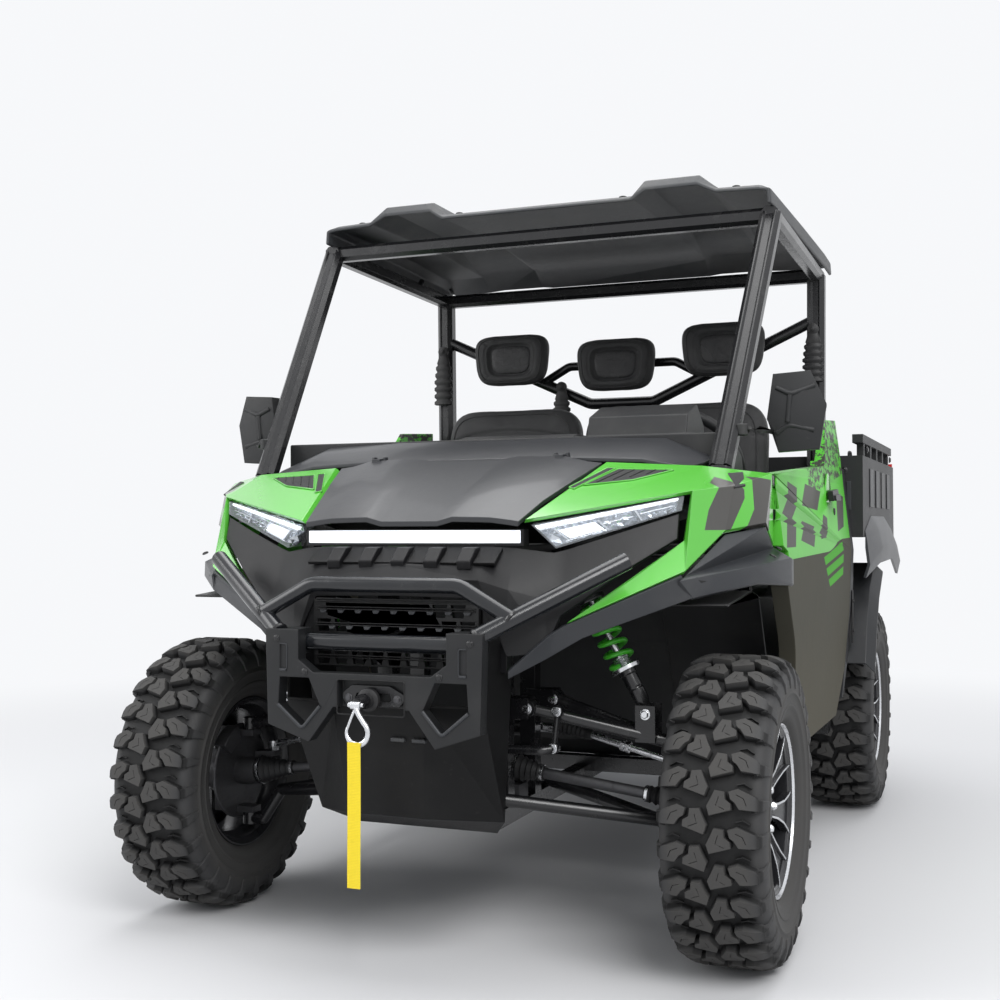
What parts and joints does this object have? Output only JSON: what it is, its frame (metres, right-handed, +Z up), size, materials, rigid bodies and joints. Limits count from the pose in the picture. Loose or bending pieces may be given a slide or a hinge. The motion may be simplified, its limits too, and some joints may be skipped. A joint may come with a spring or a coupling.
{
  "type": "side-by-side utility terrain vehicle",
  "caption": "Two-seat off-road side-by-side with roll cage, roof, half doors, tilting cargo bed with tailgate, double-wishbone suspension and chunky tyres.",
  "frame": {"origin": "middle of the whole vehicle's footprint, on the ground under the tyres", "axes": "+Y towards the rear, so the front faces -Y; +X towards the vehicle's own left side; +Z up"},
  "size_m": [1.684, 2.991, 1.934],
  "materials": {
    "tyre_rubber": "matt",
    "rim_metal": "gloss black with machined edges",
    "black_steel": "satin powder coat",
    "cast_metal": "as cast",
    "bright_steel": "satin",
    "green_spring": "gloss",
    "green_panel": "gloss",
    "grey_panel": "gloss",
    "grey_flare": "satin",
    "black_plastic": "grained",
    "clear_lens": "clear",
    "white_lens": "gloss",
    "red_lens": "gloss",
    "seat_cover": "grained",
    "yellow_webbing": "woven"
  },
  "bodies": {
    "chassis": {"frame": "black_steel", "floor_pan": "black_plastic", "skid_plate": "black_plastic", "powertrain": "cast_metal", "fascia": "black_plastic", "grille": "black_plastic", "fender_left": "green_panel", "fender_right": "green_panel", "front_flares": "grey_flare", "arch_liners": "black_plastic", "cowl": "black_plastic", "headlamps": "clear_lens", "light_strip": "white_lens", "bumper": "black_plastic", "brush_guard": "black_steel", "fairlead": "cast_metal", "winch_hook": "bright_steel", "pull_strap": "yellow_webbing", "dashboard": "black_plastic", "steering_column": "black_plastic", "cage": "black_steel", "rear_brace": "black_steel", "roof": "grey_panel", "mirrors": "black_plastic", "seat_base": "black_plastic", "seat_cushions": "seat_cover", "seat_backs": "seat_cover", "headrests": "seat_cover", "side_panels": "grey_flare", "front_arms": "black_steel", "rear_arms": "black_steel", "rear_uprights": "cast_metal", "shocks": "green_spring", "half_shafts": "bright_steel"},
    "front_knuckle_left": {"knuckle_left": "cast_metal"},
    "front_knuckle_right": {"knuckle_right": "cast_metal"},
    "wheel_front_left": {"tyre_front_left": "tyre_rubber", "rim_front_left": "rim_metal"},
    "wheel_front_right": {"tyre_front_right": "tyre_rubber", "rim_front_right": "rim_metal"},
    "wheel_rear_left": {"tyre_rear_left": "tyre_rubber", "rim_rear_left": "rim_metal"},
    "wheel_rear_right": {"tyre_rear_right": "tyre_rubber", "rim_rear_right": "rim_metal"},
    "steering_rack": {"tie_rods": "bright_steel"},
    "steering_wheel": {"steering_wheel": "black_plastic"},
    "hood": {"hood": "grey_panel"},
    "door_left": {"door_left": "green_panel"},
    "door_right": {"door_right": "green_panel"},
    "cargo_bed": {"bed": "black_plastic", "rear_flares": "grey_flare", "tail_lamps": "red_lens"},
    "tailgate": {"tailgate": "black_plastic"}
  },
  "joints": [
    {"name": "steer_left", "type": "hinge", "parent": "chassis", "child": "front_knuckle_left", "pos_m": [0.6, -0.9465, 0.343], "axis": [0, 0, 1], "range_deg": [-30, 30]},
    {"name": "steer_right", "type": "hinge", "parent": "chassis", "child": "front_knuckle_right", "pos_m": [-0.6, -0.9465, 0.343], "axis": [0, 0, 1], "range_deg": [-30, 30]},
    {"name": "rack_slide", "type": "slide", "parent": "chassis", "child": "steering_rack", "axis": [1, 0, 0], "range_m": [-0.056, 0.056]},
    {"name": "steering_wheel_turn", "type": "hinge", "parent": "chassis", "child": "steering_wheel", "pos_m": [0.372, -0.2465, 1.15], "axis": [0, 0.8192, 0.5736], "range_deg": [-270, 270]},
    {"name": "wheel_front_left_spin", "type": "hinge", "parent": "front_knuckle_left", "child": "wheel_front_left", "pos_m": [0.689, -0.9465, 0.343], "axis": [1, 0, 0], "continuous": true},
    {"name": "wheel_front_right_spin", "type": "hinge", "parent": "front_knuckle_right", "child": "wheel_front_right", "pos_m": [-0.689, -0.9465, 0.343], "axis": [1, 0, 0], "continuous": true},
    {"name": "wheel_rear_left_spin", "type": "hinge", "parent": "chassis", "child": "wheel_rear_left", "pos_m": [0.682, 0.9045, 0.343], "axis": [1, 0, 0], "continuous": true},
    {"name": "wheel_rear_right_spin", "type": "hinge", "parent": "chassis", "child": "wheel_rear_right", "pos_m": [-0.682, 0.9045, 0.343], "axis": [1, 0, 0], "continuous": true},
    {"name": "hood_open", "type": "hinge", "parent": "chassis", "child": "hood", "pos_m": [0, -0.8955, 1.151], "axis": [-1, 0, 0], "range_deg": [0, 50]},
    {"name": "door_left_open", "type": "hinge", "parent": "chassis", "child": "door_left", "pos_m": [0.744, -0.7885, 0.8], "axis": [0, 0, -1], "range_deg": [0, 65]},
    {"name": "door_right_open", "type": "hinge", "parent": "chassis", "child": "door_right", "pos_m": [-0.744, -0.7885, 0.8], "axis": [0, 0, 1], "range_deg": [0, 65]},
    {"name": "bed_tilt", "type": "hinge", "parent": "chassis", "child": "cargo_bed", "pos_m": [0, 1.3835, 0.912], "axis": [-1, 0, 0], "range_deg": [0, 42]},
    {"name": "tailgate_open", "type": "hinge", "parent": "cargo_bed", "child": "tailgate", "pos_m": [0, 1.4675, 0.954], "axis": [-1, 0, 0], "range_deg": [0, 90]}
  ],
  "couplings": [
    {"joint": "steer_right", "follows": "steer_left", "ratio": 1},
    {"joint": "rack_slide", "follows": "steer_left", "m_per_rad": -0.105},
    {"joint": "steering_wheel_turn", "follows": "steer_left", "ratio": 9}
  ]
}
